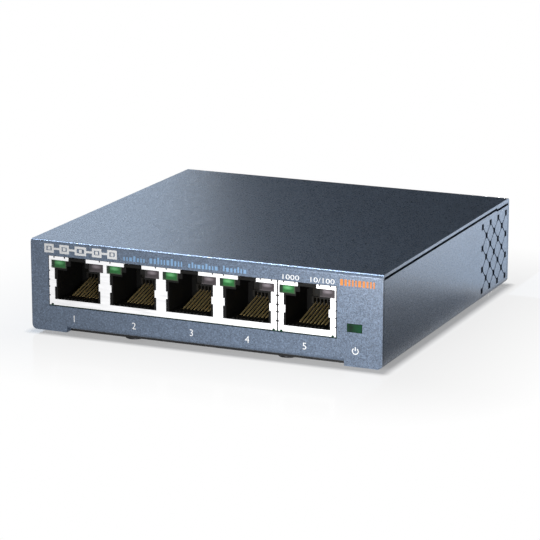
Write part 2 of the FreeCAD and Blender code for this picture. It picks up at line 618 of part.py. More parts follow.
def jack_housing(x0, x1, ports):
    inset = SHIELD_T + SHIELD_FIT
    body = block(x0 + inset, x1 - inset, HOUSING_Y0, HOUSING_Y1, JACK_Z0, HOUSING_Z1)
    body = cut_all(body, [tool for cx in ports for tool in port_cutters(cx)])
    teeth = [tooth for cx in ports for tooth in comb_teeth(cx) + latch_ledges(cx)]
    pegs = [rod_z(x, FRONT + PEG_DEPTH, BOARD_Z0, JACK_Z0 + SHEET, PEG_R) for x in peg_places(ports)]
    return fuse_all([body] + teeth + pegs)


# ------------------------------------------------------------------ contacts of one port
def contact_insert(cx):
    """Plastic carrier: round nose, plate, and a rear wall with a slot for each contact's tip."""
    half = INSERT_W / 2
    low = PIVOT_Z - HOOK_IN
    nose = rod_x(cx - half, cx + half, PIVOT_Y, PIVOT_Z, NOSE_R)
    plate = block(cx - half, cx + half, PIVOT_Y + NOSE_R / 2, FRONT + INSERT_END, low,
                  PIVOT_Z + INSERT_PLATE_TOP)
    wall = block(cx - half, cx + half, FRONT + INSERT_WALL_DEPTH, FRONT + INSERT_END, low,
                 CAVITY_Z1 - INSERT_GAP)
    bar_z0 = JACK_Z0 + INSERT_BAR_LOW
    bar = block(cx - half, cx + half, FRONT + INSERT_WALL_DEPTH - INSERT_BAR_PROUD, FRONT + INSERT_WALL_DEPTH,
                bar_z0, bar_z0 + INSERT_BAR_H)
    slots = [block(cx + x - COMB_SLOT_W / 2, cx + x + COMB_SLOT_W / 2, FRONT + INSERT_WALL_DEPTH - 1,
                   FRONT + INSERT_WALL_DEPTH + COMB_SLOT_DEEP, PIVOT_Z + INSERT_PLATE_TOP,
                   JACK_Z0 + COMB_SLOT_TOP)
             for x in WIRE_XS]
    return cut_all(fuse_all([nose, plate, wall, bar]), slots)


def contact_arm(x):
    """Sprung part of one contact: hook round the insert's nose, then a straight rising arm."""
    rise = math.radians(ARM_RISE_DEG)
    start = math.pi / 2 + rise
    end = math.radians(HOOK_END_DEG)

    def at(r, angle):
        return Vector(x - WIRE / 2, PIVOT_Y + r * math.cos(angle), PIVOT_Z + r * math.sin(angle))

    run = Vector(0, math.cos(rise), math.sin(rise)) * ARM_L
    middle = (start + end) / 2
    edges = [
        Part.makeLine(at(HOOK_IN, start) + run, at(HOOK_IN, start)),
        Part.Arc(at(HOOK_IN, start), at(HOOK_IN, middle), at(HOOK_IN, end)).toShape(),
        Part.makeLine(at(HOOK_IN, end), at(HOOK_OUT, end)),
        Part.Arc(at(HOOK_OUT, end), at(HOOK_OUT, middle), at(HOOK_OUT, start)).toShape(),
        Part.makeLine(at(HOOK_OUT, start), at(HOOK_OUT, start) + run),
        Part.makeLine(at(HOOK_OUT, start) + run, at(HOOK_IN, start) + run),
    ]
    return Part.Face(Part.Wire(edges)).extrude(Vector(WIRE, 0, 0))


def contact_tail(x, row):
    """Fixed part of one contact: under the insert's plate, then down through the board."""
    top = PIVOT_Z - HOOK_IN
    y = FRONT + TAIL_ROWS[row]
    half = WIRE / 2
    run = block(x - half, x + half, PIVOT_Y + TAIL_START, y + half, top - WIRE, top)
    leg = block(x - half, x + half, y - half, y + half, LEAD_END, top - WIRE / 2)
    return fuse_all([run, leg])


def port_lamp(cx, side):
    """Rectangular lamp with its two leads, which run back over the jack and down to the board."""
    x0 = cx + side * LED_INNER
    x1 = cx + side * LED_OUTER
    middle = (x0 + x1) / 2
    body = block(min(x0, x1), max(x0, x1), HOUSING_Y0, HOUSING_Y0 + LED_L, LED_Z0, LED_Z1)
    lead_z = (LED_Z0 + LED_Z1) / 2
    half = LED_LEAD / 2
    leads = []
    for s in (-1, 1):
        x = middle + s * LED_LEAD_SPREAD
        leads.append(block(x - half, x + half, HOUSING_Y0 + LED_L - half, LED_LEAD_Y,
                           lead_z - half, lead_z + half))
        leads.append(block(x - half, x + half, LED_LEAD_Y - LED_LEAD, LED_LEAD_Y, LEAD_END, lead_z + half))
    return fuse_all([body] + leads)


# ------------------------------------------------------------------ power lamp
def power_lamp_lens():
    half_w = LENS_W / 2
    half_h = LENS_H / 2
    pipe = block(LENS_X - half_w, LENS_X + half_w, FRONT, FRONT + LENS_L, LENS_Z - half_h, LENS_Z + half_h)
    flange = block(LENS_X - half_w - LENS_FLANGE, LENS_X + half_w + LENS_FLANGE,
                   PANEL_IN_FRONT + LENS_GAP, PANEL_IN_FRONT + LENS_GAP + LENS_FLANGE_T,
                   LENS_Z - half_h - LENS_FLANGE, LENS_Z + half_h + LENS_FLANGE)
    return fuse_all([pipe, flange])


def power_lamp_holder():
    half_w = LENS_W / 2 + LAMP_HOLDER_WALL
    top = LENS_Z + LENS_H / 2 + LAMP_HOLDER_WALL
    body = block(LENS_X - half_w, LENS_X + half_w, HOLDER_Y0, HOLDER_Y0 + LAMP_HOLDER_L, BOARD_Z1, top)
    bore = rod_y(LENS_X, HOLDER_Y0 - LENS_GAP, HOLDER_Y0 + LAMP_HOLDER_L + LENS_GAP, LENS_Z,
                 LAMP_R + LENS_GAP)
    return body.cut(bore)


def power_lamp():
    y1 = HOLDER_Y0 + LAMP_L
    body = rod_y(LENS_X, HOLDER_Y0 + LAMP_R, y1, LENS_Z, LAMP_R)
    dome = Part.makeSphere(LAMP_R, Vector(LENS_X, HOLDER_Y0 + LAMP_R, LENS_Z))
    rear = HOLDER_Y0 + LAMP_HOLDER_L + LAMP_R
    half = LAMP_LEAD / 2
    leads = []
    for s in (-1, 1):
        x = LENS_X + s * LAMP_LEAD_SPREAD / 2
        leads.append(block(x - half, x + half, y1 - half, rear, LENS_Z - half, LENS_Z + half))
        leads.append(block(x - half, x + half, rear - LAMP_LEAD, rear, LEAD_END, LENS_Z + half))
    return fuse_all([body, dome] + leads)


# ------------------------------------------------------------------ power inlet
def inlet_body():
    half = INLET_W / 2
    body = block(INLET_X - half, INLET_X + half, INLET_Y0, INLET_Y1, BOARD_Z1, BOARD_Z1 + INLET_H)
    collar = rod_y(INLET_X, INLET_Y1 - SHEET, REAR, INLET_Z, INLET_COLLAR_R)
    bore = rod_y(INLET_X, REAR - INLET_BORE_DEEP, REAR + SHEET, INLET_Z, INLET_BORE_R)
    pin_hole = rod_y(INLET_X, INLET_Y0 - SHEET, REAR, INLET_Z, INLET_ROOT_R + INLET_FIT)
    slot_half = LEAF_W / 2 + LEAF_SLOT_GAP
    slot = block(INLET_X - slot_half, INLET_X + slot_half, INLET_Y0 + LEAF_SLOT_GAP, INLET_Y1 - 2 * SHEET,
                 BOARD_Z1 - SHEET, INLET_Z - INLET_BORE_R / 2)
    core = rod_y(INLET_X, INLET_Y0, REAR - INLET_BORE_DEEP, INLET_Z, 2 * INLET_PIN_R)
    return cut_all(fuse_all([body, collar]), [bore, pin_hole, slot.cut(core)])


def inlet_centre_pin():
    pin = rod_y(INLET_X, REAR - INLET_BORE_DEEP, REAR - INLET_PIN_BACK, INLET_Z, INLET_PIN_R)
    root = rod_y(INLET_X, INLET_Y0 - INLET_LUG_T, REAR - INLET_BORE_DEEP, INLET_Z, INLET_ROOT_R)
    lug = block(INLET_X - INLET_LUG_W / 2, INLET_X + INLET_LUG_W / 2, INLET_Y0 - INLET_LUG_T, INLET_Y0,
                LEAD_END, INLET_Z + INLET_PIN_R)
    return fuse_all([pin, root, lug])


def leaf_places():
    """Rear end, front end and upper level of the leaf that meets the plug's sleeve."""
    y1 = INLET_Y1 - 2 * SHEET - LEAF_SLOT_GAP
    return y1 - LEAF_L, y1, INLET_Z - INLET_BORE_R - LEAF_SLOT_GAP


def inlet_leaf():
    y0, y1, top = leaf_places()
    bump = LEAF_BUMP + LEAF_SLOT_GAP
    middle = (y0 + y1) / 2
    line = [(y0, 0), (middle - 2 * bump, 0), (middle, bump), (middle + 2 * bump, 0), (y1, 0)]
    x0 = INLET_X - LEAF_W / 2
    upper = [Vector(x0, y, top + rise) for y, rise in line]
    lower = [Vector(x0, y, top + rise - LEAF_T) for y, rise in reversed(line)]
    leaf = prism(upper + lower, Vector(LEAF_W, 0, 0))
    leg = block(INLET_X - LEAF_W / 4, INLET_X + LEAF_W / 4, y0, y0 + INLET_LUG_T, LEAD_END, top - LEAF_T / 2)
    return fuse_all([leaf, leg])


# ------------------------------------------------------------------ main board and the parts on it
def square_lead_hole(x, y, side):
    return rod_z(x, y, BOARD_Z0 - SHEET, BOARD_Z1 + SHEET, side / math.sqrt(2) + LEAD_HOLE_GAP)


def port_board_holes(cx):
    holes = [square_lead_hole(cx + x, FRONT + TAIL_ROWS[i % 2], WIRE) for i, x in enumerate(WIRE_XS)]
    middle = (LED_INNER + LED_OUTER) / 2
    for side in (-1, 1):
        for s in (-1, 1):
            x = cx + side * middle + s * LED_LEAD_SPREAD
            holes.append(square_lead_hole(x, LED_LEAD_Y - LED_LEAD / 2, LED_LEAD))
    return holes


def main_board():
    board = block(-BOARD_X, BOARD_X, BOARD_Y0, BOARD_Y1, BOARD_Z0, BOARD_Z1)
    z0 = BOARD_Z0 - SHEET
    z1 = BOARD_Z1 + SHEET
    tools = [rod_z(x, y, z0, z1, SCREW_R + SCREW_PASS_GAP) for x, y in BOARD_HOLES]
    for cx in PORTS:
        tools += port_board_holes(cx)
    for x0, x1, ports in ((GANG_X0, GANG_X1, GANG_PORTS), (SINGLE_X0, SINGLE_X1, SINGLE_PORTS)):
        tools += leg_boxes(x0, x1, z0, z1, LEAD_HOLE_GAP)
        tools += [rod_z(x, FRONT + PEG_DEPTH, z0, z1, PEG_R + PEG_HOLE_GAP) for x in peg_places(ports)]
    lamp_rear = HOLDER_Y0 + LAMP_HOLDER_L + LAMP_R - LAMP_LEAD / 2
    tools += [square_lead_hole(LENS_X + s * LAMP_LEAD_SPREAD / 2, lamp_rear, LAMP_LEAD) for s in (-1, 1)]
    gap = LEAD_HOLE_GAP
    tools.append(block(INLET_X - INLET_LUG_W / 2 - gap, INLET_X + INLET_LUG_W / 2 + gap,
                       INLET_Y0 - INLET_LUG_T - gap, INLET_Y0 + gap, z0, z1))
    leaf_y0 = leaf_places()[0]
    tools.append(block(INLET_X - LEAF_W / 4 - gap, INLET_X + LEAF_W / 4 + gap,
                       leaf_y0 - gap, leaf_y0 + INLET_LUG_T + gap, z0, z1))
    return board.cut(tools)


def gull_leads(x, y, size, count, pitch, lead, along_x):
    """Flat leads along two opposite sides of a part, resting on the board."""
    leads = []
    for i in range(count):
        shift = (i - (count - 1) / 2) * pitch
        for s in (-1, 1):
            if along_x:
                reach = s * (size[1] / 2 + lead[1] / 4)
                leads.append(centred(x + shift, y + reach, BOARD_Z1, (lead[0], lead[1], lead[2])))
            else:
                reach = s * (size[0] / 2 + lead[1] / 4)
                leads.append(centred(x + reach, y + shift, BOARD_Z1, (lead[1], lead[0], lead[2])))
    return leads


def transformer(cx):
    y = PARTS_Y0 - TRANSFORMER[1] / 2
    body = centred(cx, y, BOARD_Z1, TRANSFORMER)
    leads = gull_leads(cx, y, TRANSFORMER, TRANSFORMER_LEADS, TRANSFORMER_LEAD_PITCH, TRANSFORMER_LEAD, True)
    return fuse_all([body] + leads)


def switch_chip():
    x = CHIP_CENTRE[0]
    y = PARTS_Y0 + CHIP_CENTRE[1]
    leads = []
    for along_x in (True, False):
        leads += gull_leads(x, y, CHIP, CHIP_LEADS, CHIP_LEAD_PITCH, CHIP_LEAD, along_x)
    return fuse_all([centred(x, y, BOARD_Z1, CHIP)] + leads)


def thermal_pad():
    return centred(CHIP_CENTRE[0], PARTS_Y0 + CHIP_CENTRE[1], BOARD_Z1 + CHIP[2], (SINK_W, SINK_W, PAD_T))


def heatsink():
    x = CHIP_CENTRE[0]
    y = PARTS_Y0 + CHIP_CENTRE[1]
    z0 = BOARD_Z1 + CHIP[2] + PAD_T
    body = centred(x, y, z0, (SINK_W, SINK_W, SINK_H))
    pitch = (SINK_W - SINK_FIN_T) / (SINK_FINS - 1)
    grooves = [centred(x + (i - SINK_FINS / 2 + 1) * pitch, y, z0 + SINK_BASE,
                       (pitch - SINK_FIN_T, SINK_W + SHEET, SINK_H)) for i in range(SINK_FINS - 1)]
    return cut_all(body, grooves)


def can_capacitor(x, y):
    base = centred(x, y, BOARD_Z1, (CAN_BASE, CAN_BASE, CAN_BASE_H))
    corners = edges_along(base, Vector(0, 0, 1), lambda c: c.x > x)
    base = base.makeChamfer(CAN_BASE_H, corners)
    can = rod_z(x, y, BOARD_Z1 + CAN_BASE_H, BOARD_Z1 + CAN_H, CAN_R)
    return fuse_all([base, can])


def ceramics():
    """Small capacitors in rows in front of and behind the switch chip."""
    chips = []
    for s in (-1, 1):
        y = PARTS_Y0 + CHIP_CENTRE[1] + s * (CHIP[1] / 2 + CERAMIC_FROM_CHIP)
        for i in range(CERAMICS_PER_SIDE):
            x = CHIP_CENTRE[0] + (i - (CERAMICS_PER_SIDE - 1) / 2) * CERAMIC_PITCH
            chips.append(centred(x, y, BOARD_Z1, CERAMIC))
    return chips


def on_board(centre, size):
    return centred(centre[0], PARTS_Y0 + centre[1], BOARD_Z1, size)


# ------------------------------------------------------------------ build
def build_case():
    write("top_cover", top_cover())
    write("base_tray", base_tray())
    for end, y in (("front", FRONT + FOOT_INSET), ("rear", REAR - FOOT_INSET)):
        write("foot_" + end + "_left", foot(LEFT + FOOT_INSET, y))
        write("foot_" + end + "_right", foot(RIGHT - FOOT_INSET, y))
    write("cover_screws", [cover_screw(x, y) for x, y in COVER_SCREWS])
    write("board_standoffs", [standoff(x, y) for x, y in BOARD_HOLES])
    write("board_screws", [board_screw(x, y) for x, y in BOARD_HOLES])


def build_jacks():
    write("gang_jack_shield", jack_shield(GANG_X0, GANG_X1, GANG_PORTS, GANG_WINDOW_W))
    write("single_jack_shield", jack_shield(SINGLE_X0, SINGLE_X1, SINGLE_PORTS, SINGLE_WINDOW_W))
    write("gang_jack_housing", jack_housing(GANG_X0, GANG_X1, GANG_PORTS))
    write("single_jack_housing", jack_housing(SINGLE_X0, SINGLE_X1, SINGLE_PORTS))
    for number, cx in enumerate(PORTS, 1):
        port = "_port_" + str(number)
        write("contact_insert" + port, contact_insert(cx))
        write("contact_springs" + port, [contact_arm(cx + x) for x in WIRE_XS])
        write("contact_tails" + port, [contact_tail(cx + x, i % 2) for i, x in enumerate(WIRE_XS)])
        write("link_lamp" + port, port_lamp(cx, -1))
        write("speed_lamp" + port, port_lamp(cx, 1))
        write("transformer" + port, transformer(cx))


def build_electronics():
    write("main_board", main_board())
    write("power_lamp_lens", power_lamp_lens())
    write("power_lamp_holder", power_lamp_holder())
    write("power_lamp", power_lamp())
    write("switch_chip", switch_chip())
    write("thermal_pad", thermal_pad())
    write("heatsink", heatsink())
    write("clock_crystal", on_board(CRYSTAL_CENTRE, CRYSTAL))
    write("memory_chip", on_board(MEMORY_CENTRE, MEMORY))
    write("voltage_regulators", [on_board(c, REGULATOR) for c in REGULATOR_CENTRES])
    write("power_inductors", [on_board(c, INDUCTOR) for c in INDUCTOR_CENTRES])
    write("can_capacitors", [can_capacitor(x, REAR - back) for x, back in CANS_FROM_REAR])
    write("ceramic_capacitors", ceramics())
    write("input_diode", centred(DIODE_FROM_REAR[0], REAR - DIODE_FROM_REAR[1], BOARD_Z1, DIODE))
    write("inlet_body", inlet_body())
    write("inlet_centre_pin", inlet_centre_pin())
    write("inlet_sleeve_spring", inlet_leaf())


os.makedirs("parts", exist_ok=True)
build_case()
build_jacks()
build_electronics()
print("case", round(CASE_W, 3), round(CASE_D, 3), round(CASE_Z1, 3))
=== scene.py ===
import json
import math

import bmesh
import bpy
from mathutils import Matrix, Vector


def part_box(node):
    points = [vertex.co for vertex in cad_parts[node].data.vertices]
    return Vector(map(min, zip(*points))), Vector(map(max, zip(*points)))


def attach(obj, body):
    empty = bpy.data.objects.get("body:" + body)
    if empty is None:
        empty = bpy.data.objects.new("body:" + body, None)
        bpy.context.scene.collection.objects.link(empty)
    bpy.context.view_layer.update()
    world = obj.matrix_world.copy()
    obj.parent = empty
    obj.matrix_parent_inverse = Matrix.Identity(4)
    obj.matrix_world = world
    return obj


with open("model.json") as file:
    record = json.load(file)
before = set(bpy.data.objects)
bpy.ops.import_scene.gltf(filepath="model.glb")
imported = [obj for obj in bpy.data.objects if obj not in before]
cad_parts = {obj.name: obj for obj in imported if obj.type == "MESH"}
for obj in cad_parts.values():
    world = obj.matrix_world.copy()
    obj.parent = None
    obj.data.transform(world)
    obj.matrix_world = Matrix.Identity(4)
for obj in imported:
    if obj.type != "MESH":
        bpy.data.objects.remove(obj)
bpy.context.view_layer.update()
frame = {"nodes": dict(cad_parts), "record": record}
MM = 0.001

WORLD_LIGHT = 0.02          # strength of the white surroundings as light on the object
FLOOR_LIGHT = 0.06          # the same for the white table
FLOOR_PLAIN = 0.82          # share of plain white in the table's look right beside the case
FLOOR_FADE = 0.045          # how far from the case the table becomes plain white, in metres
CARD_TINT = (0.79, 0.95, 1.16)              # cool white of the cards
CARD_LIFT = 0.4 * MM        # gap under a card that lies on the table
CAMERA_AZIMUTH = 23.65      # degrees from straight in front, towards the right
CAMERA_ELEVATION = 14.08    # degrees above the table
CAMERA_TARGET = Vector((2.37, -10.76, 13.3)) * MM
CAMERA_DISTANCE = 722.06 * MM
CAMERA_LENS = 177.9         # millimetres, on a sensor 36 wide
# name, place, aim, size, power
LIGHTS = (
    ("front_low", (-0.06, -0.85, 0.16), (0, -0.02, 0.01), (0.2, 0.16), 1.35),
    ("front_close", (0.034, -0.14, 0.019), (0.038, -0.049, 0.014), (0.05, 0.012), 0.085),
    ("back_left", (-0.45, 0.45, 0.22), (-0.03, 0, 0.02), (0.3, 0.25), 0.5),
    ("right_rear", (0.17, 0.15, 0.0135), (0.05, 0.04, 0.0135), (0.07, 0.022), 0.17),
    ("back_low", (-0.01, 0.34, 0.013), (-0.01, 0.04, 0.013), (0.10, 0.022), 0.35),
    ("left_low", (-0.34, 0.0, 0.013), (-0.05, 0, 0.013), (0.10, 0.022), 0.30),
)

# ------------------------------------------------------------------ places read from the frame
cover_low, cover_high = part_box("top_cover")
FACE_Y = cover_low.y                       # outer face of the front panel
CASE_LEFT = cover_low.x
CASE_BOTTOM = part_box("base_tray")[0].z
CASE_TOP = cover_high.z
LAMP_WINDOW_LOW = 0.856                    # share of a lamp's height below its window
INK_THICK = 0.03 * MM                      # how far printing stands above the paint
INK_SUNK = 0.2 * INK_THICK                 # how far it reaches into the paint
RECESS_SHADE_TOP = 0.95 * MM                     # painted shade in the recess under the front panel: its highest point above the tray's underside
RECESS_SHADE_FRONT = 1.0 * MM                    # its front and back edges behind the front panel's face
RECESS_SHADE_BACK = 5.0 * MM
RECESS_SHADE_END = 10.4 * MM                     # its ends, in from the sides of the case


# ------------------------------------------------------------------ node helpers
class Nodes:
    """A small material builder: one Principled shader and the nodes that feed it."""

    def __init__(self, name):
        self.material = bpy.data.materials.new(name)
        self.material.use_nodes = True
        self.tree = self.material.node_tree
        self.shader = self.tree.nodes["Principled BSDF"]
        self.output = self.tree.nodes["Material Output"]

    def add(self, kind, **values):
        node = self.tree.nodes.new(kind)
        for key, value in values.items():
            setattr(node, key, value)
        return node

    def link(self, source, target):
        self.tree.links.new(source, target)

    def place(self, scale=(1, 1, 1)):
        """Object coordinates in metres, stretched by scale."""
        where = self.add("ShaderNodeTexCoord")
        mapping = self.add("ShaderNodeMapping")
        mapping.inputs["Scale"].default_value = scale
        self.link(where.outputs["Object"], mapping.inputs["Vector"])
        return mapping.outputs["Vector"]

    def noise(self, scale, detail=2.0, roughness=0.5, stretch=(1, 1, 1)):
        node = self.add("ShaderNodeTexNoise")
        node.inputs["Scale"].default_value = scale
        node.inputs["Detail"].default_value = detail
        node.inputs["Roughness"].default_value = roughness
        self.link(self.place(stretch), node.inputs["Vector"])
        return node.outputs["Fac"]

    def cells(self, scale):
        node = self.add("ShaderNodeTexVoronoi")
        node.inputs["Scale"].default_value = scale
        self.link(self.place(), node.inputs["Vector"])
        return node.outputs["Color"]

    def ramp(self, source, stops):
        node = self.add("ShaderNodeValToRGB")
        points = node.color_ramp.elements
        while len(points) < len(stops):
            points.new(1.0)
        for point, (place, colour) in zip(points, stops):
            point.position = place
            point.color = (*colour, 1)
        self.link(source, node.inputs["Fac"])
        return node.outputs["Color"]

    def spread(self, source, low, high, from_low=0.3, from_high=0.7):
        node = self.add("ShaderNodeMapRange")
        node.inputs["From Min"].default_value = from_low
        node.inputs["From Max"].default_value = from_high
        node.inputs["To Min"].default_value = low
        node.inputs["To Max"].default_value = high
        self.link(source, node.inputs["Value"])
        return node.outputs["Result"]

    def mix(self, factor, first, second, blend="MIX"):
        node = self.add("ShaderNodeMix", data_type="RGBA", blend_type=blend)
        self.feed(node.inputs[0], factor)
        self.feed(node.inputs[6], first)
        self.feed(node.inputs[7], second)
        return node.outputs[2]

    def feed(self, socket, value):
        if isinstance(value, bpy.types.NodeSocket):
            self.link(value, socket)
        elif isinstance(value, tuple) and len(value) == 3:
            socket.default_value = (*value, 1)
        else:
            socket.default_value = value

    def math(self, operation, first, second=0.0):
        node = self.add("ShaderNodeMath", operation=operation)
        self.feed(node.inputs[0], first)
        self.feed(node.inputs[1], second)
        return node.outputs[0]

    def recess(self):
        """Mask of painted shade: 1 in the shallow recess under the front panel's cut-out, 0 elsewhere."""
        where = self.add("ShaderNodeTexCoord")
        parts = self.add("ShaderNodeSeparateXYZ")
        self.link(where.outputs["Object"], parts.inputs[0])
        low = self.math("LESS_THAN", parts.outputs["Z"], CASE_BOTTOM + RECESS_SHADE_TOP)
        behind = self.math("GREATER_THAN", parts.outputs["Y"], FACE_Y + RECESS_SHADE_FRONT)
        near = self.math("LESS_THAN", parts.outputs["Y"], FACE_Y + RECESS_SHADE_BACK)
        sideways = self.math("ABSOLUTE", parts.outputs["X"])
        inside = self.math("LESS_THAN", sideways, -CASE_LEFT - RECESS_SHADE_END)
        return self.math("MULTIPLY", self.math("MULTIPLY", low, behind), self.math("MULTIPLY", near, inside))

    def vector(self, operation, first, second=(0, 0, 0)):
        node = self.add("ShaderNodeVectorMath", operation=operation)
        for socket, value in zip(node.inputs, (first, second)):
            if isinstance(value, tuple):
                socket.default_value = value
            else:
                self.link(value, socket)
        return node.outputs["Vector"]

    def bump(self, height, strength, distance, under=None):
        node = self.add("ShaderNodeBump")
        node.inputs["Strength"].default_value = strength
        node.inputs["Distance"].default_value = distance
        self.link(height, node.inputs["Height"])
        if under is not None:
            self.link(under, node.inputs["Normal"])
        return node.outputs["Normal"]

    def finish(self, **inputs):
        for name, value in inputs.items():
            self.feed(self.shader.inputs[name.replace("_", " ")], value)
        return self.material


# ------------------------------------------------------------------ materials
def case_paint():
    """Steel-blue metallic powder coat: fine flakes, mottling and a slight orange peel, with near-black
    painted shade in the recess under the front panel.
    """
    n = Nodes("case_paint")
    flakes = n.ramp(n.cells(3300), [(0.0, (0.62, 0.62, 0.62)), (0.55, (0.98, 0.98, 0.98)),
                                    (1.0, (1.60, 1.60, 1.60))])
    cloud = n.ramp(n.noise(90, 3), [(0.3, (0.122, 0.163, 0.232)), (0.7, (0.132, 0.176, 0.250))])
    # painted shade: the paint turns near-black in the recess under the front panel's cut-out
    colour = n.mix(n.recess(), n.mix(1.0, cloud, flakes, "MULTIPLY"), (0.004, 0.004, 0.005))
    peel = n.bump(n.noise(2600, 2), 0.30, 0.00006)
    grain = n.bump(n.noise(3600, 2), 0.55, 0.00006, peel)
    rough = n.spread(n.noise(3400, 2), 0.18, 0.46)
    n.shader.inputs["Metallic"].default_value = 0.2
    return n.finish(Base_Color=colour, Roughness=rough, Normal=grain)


def bright_strip(name, colour, roughness, direction=(1, 1, 1), relief=0.10, metal=1.0):
    """Rolled and plated metal: faint lines along the strip."""
    n = Nodes(name)
    lines = n.noise(1800, 3, stretch=direction)
    shade = n.ramp(lines, [(0.3, tuple(0.93 * c for c in colour)), (0.7, colour)])
    rough = n.spread(lines, roughness * 0.8, roughness * 1.25)
    n.shader.inputs["Metallic"].default_value = metal
    return n.finish(Base_Color=shade, Roughness=rough, Normal=n.bump(lines, relief, 0.00004))


def moulded(name, colour, roughness, grain=4000, strength=0.2, shine=0.5):
    """Moulded plastic or rubber: slight mottling and a fine spark-eroded grain."""
    n = Nodes(name)
    dull = tuple(0.85 * c for c in colour)
    pale = tuple(1.12 * c for c in colour)
    shade = n.ramp(n.noise(300, 3), [(0.3, dull), (0.7, pale)])
    fine = n.noise(grain, 2)
    rough = n.spread(fine, roughness * 0.88, roughness * 1.12)
    n.shader.inputs["Specular IOR Level"].default_value = shine
    return n.finish(Base_Color=shade, Roughness=rough, Normal=n.bump(fine, strength, 0.00003))


def lamp_resin(name, dark, body, glow, rim, side_share):
    """Tinted lamp window: painted shade on its left side, a painted highlight high in the middle, pale rim
    low and right.

    Generated coordinates run 0..1 over the lamp's own box, whose window is its lowest y and highest z.
    """
    n = Nodes(name)
    where = n.add("ShaderNodeTexCoord")
    parts = n.add("ShaderNodeSeparateXYZ")
    n.link(where.outputs["Generated"], parts.inputs[0])
    across = parts.outputs["X"]
    up = n.spread(parts.outputs["Z"], 0.0, 1.0, LAMP_WINDOW_LOW, 1.0)
    cloudy = n.ramp(n.noise(1500, 3, 0.6), [(0.35, tuple(0.75 * c for c in body)), (0.62, body)])
    # painted highlight: a bright spot high in the middle of the window
    centre = n.math("SUBTRACT", across, 0.50)
    height = n.math("SUBTRACT", up, 0.66)
    painted_highlight_spot = n.math("SQRT", n.math("ADD", n.math("POWER", n.math("MULTIPLY", centre, 2.6), 2.0),
                                 n.math("POWER", n.math("MULTIPLY", height, 3.4), 2.0)))
    lit = n.mix(n.spread(painted_highlight_spot, 1.0, 0.0, 0.25, 1.0), cloudy, glow)
    # painted shade: the window's left side turns dark
    shaded = n.mix(n.spread(across, 1.0, 0.0, side_share, side_share + 0.06), lit, dark)
    right = n.spread(across, 0.0, 1.0, 0.90, 0.94)
    bottom = n.spread(up, 1.0, 0.0, 0.08, 0.14)
    edge = n.math("MAXIMUM", right, bottom)
    colour = n.mix(edge, shaded, rim)
    n.shader.inputs["Specular IOR Level"].default_value = 0.35
    return n.finish(Base_Color=colour, Roughness=0.25)


def lens_resin():
    """Dark green power window, darkest at its left third."""
    n = Nodes("lens_green")
    where = n.add("ShaderNodeTexCoord")
    parts = n.add("ShaderNodeSeparateXYZ")
    n.link(where.outputs["Generated"], parts.inputs[0])
    wavy = n.math("ADD", parts.outputs["X"], n.spread(n.noise(900, 2), -0.12, 0.12))
    shade = n.ramp(wavy, [(0.0, (0.003, 0.024, 0.009)), (0.14, (0.004, 0.040, 0.014)),
                          (0.30, (0.002, 0.012, 0.006)), (0.45, (0.003, 0.034, 0.012)),
                          (0.75, (0.004, 0.056, 0.020)), (1.0, (0.002, 0.026, 0.010))])
    n.shader.inputs["Specular IOR Level"].default_value = 0.15
    return n.finish(Base_Color=shade, Roughness=0.3)


def board_laminate():
    """Green solder mask with the faint weave of the glass cloth."""
    n = Nodes("board_laminate")
    weave = n.add("ShaderNodeTexChecker")
    weave.inputs["Scale"].default_value = 1800
    weave.inputs["Color1"].default_value = (0.020, 0.150, 0.060, 1)
    weave.inputs["Color2"].default_value = (0.026, 0.175, 0.072, 1)
    n.link(n.place(), weave.inputs["Vector"])
    return n.finish(Base_Color=weave.outputs["Color"], Roughness=n.spread(n.noise(900), 0.28, 0.4),
                    Normal=n.bump(weave.outputs["Fac"], 0.1, 0.00002))


def print_ink(name, colour):
    """Screen-printed ink: thin, slightly uneven in cover."""
    n = Nodes(name)
    shade = n.ramp(n.noise(3500, 2), [(0.3, tuple(0.90 * c for c in colour)), (0.6, colour)])
    return n.finish(Base_Color=shade, Roughness=n.spread(n.noise(3000), 0.5, 0.62))


def make_materials():
    return {
        "case_paint": case_paint(),
        "foot_rubber": moulded("foot_rubber", (0.018, 0.018, 0.020), 0.75, 2600, 0.4),
        "screw_steel": bright_strip("screw_steel", (0.58, 0.58, 0.60), 0.30),
        "standoff_brass": bright_strip("standoff_brass", (0.74, 0.56, 0.26), 0.30),
        "board_laminate": board_laminate(),
        "shield_steel": bright_strip("shield_steel", (0.79, 0.79, 0.80), 0.5, (0.08, 1, 1), 0.03),
        "jack_plastic": moulded("jack_plastic", (0.005, 0.0048, 0.0045), 0.5, shine=0.12),
        "contact_gold": bright_strip("contact_gold", (1.0, 0.78, 0.36), 0.36, metal=0.8),
        # lamp colours in order: painted shade of the left side, body, painted highlight, rim, then the width
        # of the shaded side
        "lamp_green": lamp_resin("lamp_green", (0.004, 0.026, 0.008), (0.014, 0.155, 0.032),
                                 (0.14, 0.46, 0.18), (0.040, 0.075, 0.036), 0.16),
        "lamp_clear": lamp_resin("lamp_clear", (0.022, 0.019, 0.020), (0.060, 0.049, 0.055),
                                 (0.23, 0.20, 0.22), (0.080, 0.069, 0.074), 0.14),
        "lens_green": lens_resin(),
        "component_plastic": moulded("component_plastic", (0.020, 0.020, 0.021), 0.55),
        "pad_silicone": moulded("pad_silicone", (0.36, 0.39, 0.44), 0.7),
        "sink_aluminium": bright_strip("sink_aluminium", (0.08, 0.08, 0.09), 0.42),
        "can_aluminium": bright_strip("can_aluminium", (0.80, 0.80, 0.82), 0.26),
        "inductor_ferrite": moulded("inductor_ferrite", (0.07, 0.07, 0.075), 0.6),
        "ceramic_body": moulded("ceramic_body", (0.42, 0.31, 0.20), 0.5),
        "inlet_plastic": moulded("inlet_plastic", (0.014, 0.014, 0.016), 0.45),
        "terminal_plate": bright_strip("terminal_plate", (0.74, 0.73, 0.70), 0.3),
    }


